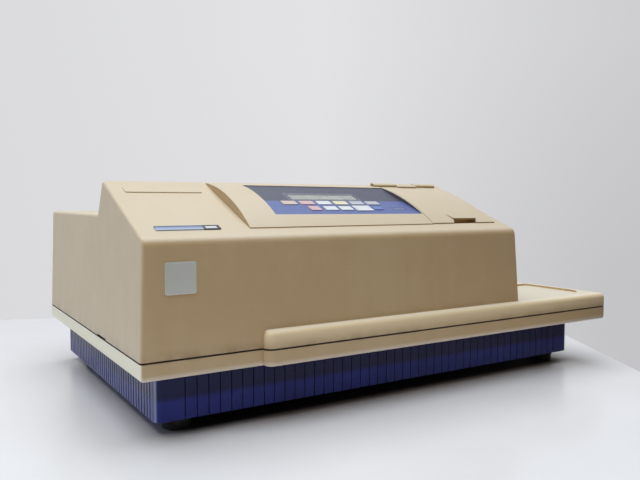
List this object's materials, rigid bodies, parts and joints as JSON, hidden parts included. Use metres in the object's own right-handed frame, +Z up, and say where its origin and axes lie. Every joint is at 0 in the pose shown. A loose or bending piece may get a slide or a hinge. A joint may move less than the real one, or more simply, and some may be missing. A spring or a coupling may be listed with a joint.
{
  "type": "microplate reader",
  "caption": "Bench microplate reader: sloped housing with keypad and cuvette lid over a ribbed base, and a low deck where a plate drawer slides out.",
  "frame": {"origin": "on the bench, under the middle of the instrument", "axes": "+X to the right along the front, +Y to the rear, +Z up"},
  "size_m": [0.58, 0.38, 0.2229],
  "materials": {
    "housing_plastic": "fine spark-eroded texture, cream beige",
    "base_plastic": "satin navy blue, fluted",
    "rubber": "matt black rubber",
    "steel": "bright steel",
    "overlay_print": "printed polyester membrane",
    "clear_window": "clear window",
    "display_face": "grey display glass",
    "circuit_board": "green solder mask",
    "key_salmon": "satin",
    "key_pink": "satin",
    "key_white": "satin",
    "key_cream": "satin",
    "key_grey": "satin",
    "key_blue": "satin",
    "black_plastic": "matt black moulding",
    "foam": "closed-cell foam",
    "badge_blue": "bare printed strip",
    "silver_film": "bare silver film",
    "aluminium": "milled",
    "belt_rubber": "toothed belt",
    "motor_black": "black enamel",
    "black_anodised": "black anodised",
    "optic_glass": "polished",
    "fibre_jacket": "black jacket",
    "zinc_plate": "zinc plated sheet"
  },
  "bodies": {
    "root": {"upper_cover": "housing_plastic", "lower_pan": "housing_plastic", "control_bezel": "housing_plastic", "hinge_bars": "housing_plastic", "base_skirt": "base_plastic", "feet": "rubber", "cover_screws": "steel", "hinge_pins": "steel", "drawer_rails": "steel", "keypad_overlay": "overlay_print", "display_window": "clear_window", "display_module": "display_face", "keypad_board": "circuit_board", "main_board": "circuit_board", "detector_board": "circuit_board", "cuvette_well": "black_plastic", "fan_frame": "black_plastic", "power_inlet": "black_plastic", "switch_frame": "black_plastic", "photodiodes": "black_plastic", "port_gasket": "foam", "badge_strip": "badge_blue", "silver_plate": "silver_film", "idler_post": "aluminium", "chassis_plate": "aluminium", "lamp_housing": "aluminium", "drive_belt": "belt_rubber", "drive_motor": "motor_black", "filter_motor": "motor_black", "optics_bridge": "black_anodised", "monochromator_body": "black_anodised", "monochromator_lid": "black_anodised", "beam_lenses": "optic_glass", "mirrors": "optic_glass", "fibre_bundle": "fibre_jacket", "rear_panel": "zinc_plate", "power_supply": "zinc_plate", "data_ports": "zinc_plate"},
    "drawer": {"drawer_frame": "aluminium", "drawer_front": "housing_plastic", "belt_clamp": "aluminium"},
    "plate_stage": {"plate_stage": "black_plastic"},
    "cuvette_door": {"cuvette_door": "housing_plastic"},
    "drive_pulley": {"drive_pulley": "aluminium"},
    "idler_pulley": {"idler_pulley": "aluminium"},
    "grating": {"grating_turret": "black_anodised"},
    "filter_wheel": {"filter_wheel": "black_anodised"},
    "fan_rotor": {"fan_rotor": "black_plastic"},
    "power_rocker": {"power_rocker": "black_plastic"},
    "key_1": {"key_1": "key_salmon"},
    "key_2": {"key_2": "key_pink"},
    "key_3": {"key_3": "key_white"},
    "key_4": {"key_4": "key_cream"},
    "key_5": {"key_5": "key_grey"},
    "key_6": {"key_6": "key_grey"},
    "key_7": {"key_7": "key_pink"},
    "key_8": {"key_8": "key_white"},
    "key_9": {"key_9": "key_white"},
    "key_10": {"key_10": "key_white"},
    "key_11": {"key_11": "key_blue"}
  },
  "joints": [
    {"name": "drawer_slide", "type": "slide", "parent": "root", "child": "drawer", "axis": [1, 0, 0], "range_m": [0, 0.132]},
    {"name": "plate_stage_scan", "type": "slide", "parent": "drawer", "child": "plate_stage", "axis": [-1, 0, 0], "range_m": [0, 0.1]},
    {"name": "cuvette_door_hinge", "type": "hinge", "parent": "root", "child": "cuvette_door", "pos_m": [0.078, -0.06276, 0.22001], "axis": [-1, 0, 0], "range_deg": [0, 100]},
    {"name": "drive_pulley_spin", "type": "hinge", "parent": "root", "child": "drive_pulley", "pos_m": [-0.108, -0.048, 0.1], "axis": [0, 0, 1], "range_deg": [0, 344]},
    {"name": "idler_pulley_spin", "type": "hinge", "parent": "root", "child": "idler_pulley", "pos_m": [0.1, -0.048, 0.1], "axis": [0, 0, 1], "range_deg": [0, 344]},
    {"name": "grating_turn", "type": "hinge", "parent": "root", "child": "grating", "pos_m": [-0.197, -0.115, 0.0752], "axis": [0, 0, 1], "range_deg": [-30, 30]},
    {"name": "filter_wheel_spin", "type": "hinge", "parent": "root", "child": "filter_wheel", "pos_m": [-0.198, -0.0597, 0.0952], "axis": [0, 1, 0], "continuous": true},
    {"name": "fan_spin", "type": "hinge", "parent": "root", "child": "fan_rotor", "pos_m": [0.07, 0.171, 0.135], "axis": [0, 1, 0], "continuous": true},
    {"name": "power_rocker_tip", "type": "hinge", "parent": "root", "child": "power_rocker", "pos_m": [-0.19, 0.1825, 0.12], "axis": [1, 0, 0], "range_deg": [0, 14]},
    {"name": "key_1_press", "type": "slide", "parent": "root", "child": "key_1", "axis": [-0.0045, 0.3663, -0.9305], "range_m": [0, 0.0005], "stiffness_N_per_m": 400},
    {"name": "key_2_press", "type": "slide", "parent": "root", "child": "key_2", "axis": [-0.0045, 0.3663, -0.9305], "range_m": [0, 0.0005], "stiffness_N_per_m": 400},
    {"name": "key_3_press", "type": "slide", "parent": "root", "child": "key_3", "axis": [-0.0045, 0.3663, -0.9305], "range_m": [0, 0.0005], "stiffness_N_per_m": 400},
    {"name": "key_4_press", "type": "slide", "parent": "root", "child": "key_4", "axis": [-0.0045, 0.3663, -0.9305], "range_m": [0, 0.0005], "stiffness_N_per_m": 400},
    {"name": "key_5_press", "type": "slide", "parent": "root", "child": "key_5", "axis": [-0.0045, 0.3663, -0.9305], "range_m": [0, 0.0005], "stiffness_N_per_m": 400},
    {"name": "key_6_press", "type": "slide", "parent": "root", "child": "key_6", "axis": [-0.0045, 0.3663, -0.9305], "range_m": [0, 0.0005], "stiffness_N_per_m": 400},
    {"name": "key_7_press", "type": "slide", "parent": "root", "child": "key_7", "axis": [-0.0045, 0.3663, -0.9305], "range_m": [0, 0.0005], "stiffness_N_per_m": 400},
    {"name": "key_8_press", "type": "slide", "parent": "root", "child": "key_8", "axis": [-0.0045, 0.3663, -0.9305], "range_m": [0, 0.0005], "stiffness_N_per_m": 400},
    {"name": "key_9_press", "type": "slide", "parent": "root", "child": "key_9", "axis": [-0.0045, 0.3663, -0.9305], "range_m": [0, 0.0005], "stiffness_N_per_m": 400},
    {"name": "key_10_press", "type": "slide", "parent": "root", "child": "key_10", "axis": [-0.0045, 0.3663, -0.9305], "range_m": [0, 0.0005], "stiffness_N_per_m": 400},
    {"name": "key_11_press", "type": "slide", "parent": "root", "child": "key_11", "axis": [-0.0045, 0.3663, -0.9305], "range_m": [0, 0.0005], "stiffness_N_per_m": 400}
  ],
  "couplings": [
    {"joint": "drive_pulley_spin", "follows": "drawer_slide", "rad_per_m": 45.455},
    {"joint": "idler_pulley_spin", "follows": "drawer_slide", "rad_per_m": 45.455}
  ]
}
